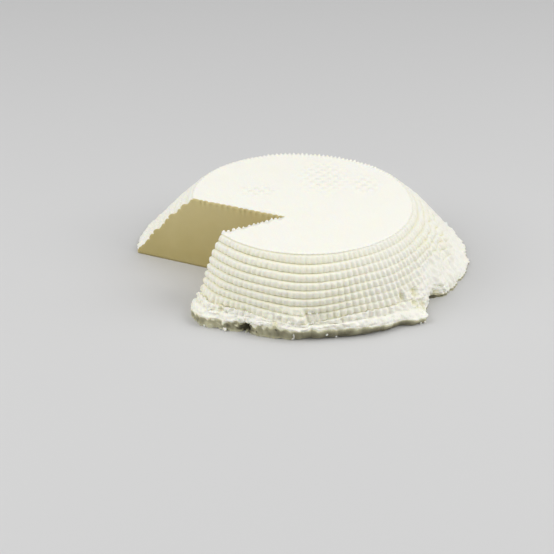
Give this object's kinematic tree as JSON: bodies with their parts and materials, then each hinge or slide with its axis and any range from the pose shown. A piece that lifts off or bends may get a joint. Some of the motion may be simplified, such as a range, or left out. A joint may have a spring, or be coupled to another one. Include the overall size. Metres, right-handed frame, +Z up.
{
  "type": "ricotta salata wheel",
  "caption": "Low basket-moulded wheel of salted ricotta with ringed sides, a ragged spread foot and a wedge cut out of one side.",
  "frame": {"origin": "middle of the footprint, on the surface the wheel stands on", "axes": "+Z up through the flat top; -X is the side the wedge was cut from; -Y is the side seen in the picture"},
  "size_m": [0.2266, 0.2234, 0.0505],
  "materials": {
    "cheese": "soft matte, moist, slightly translucent curd"
  },
  "bodies": {
    "root": {"cheese_wheel": "cheese"}
  },
  "joints": []
}
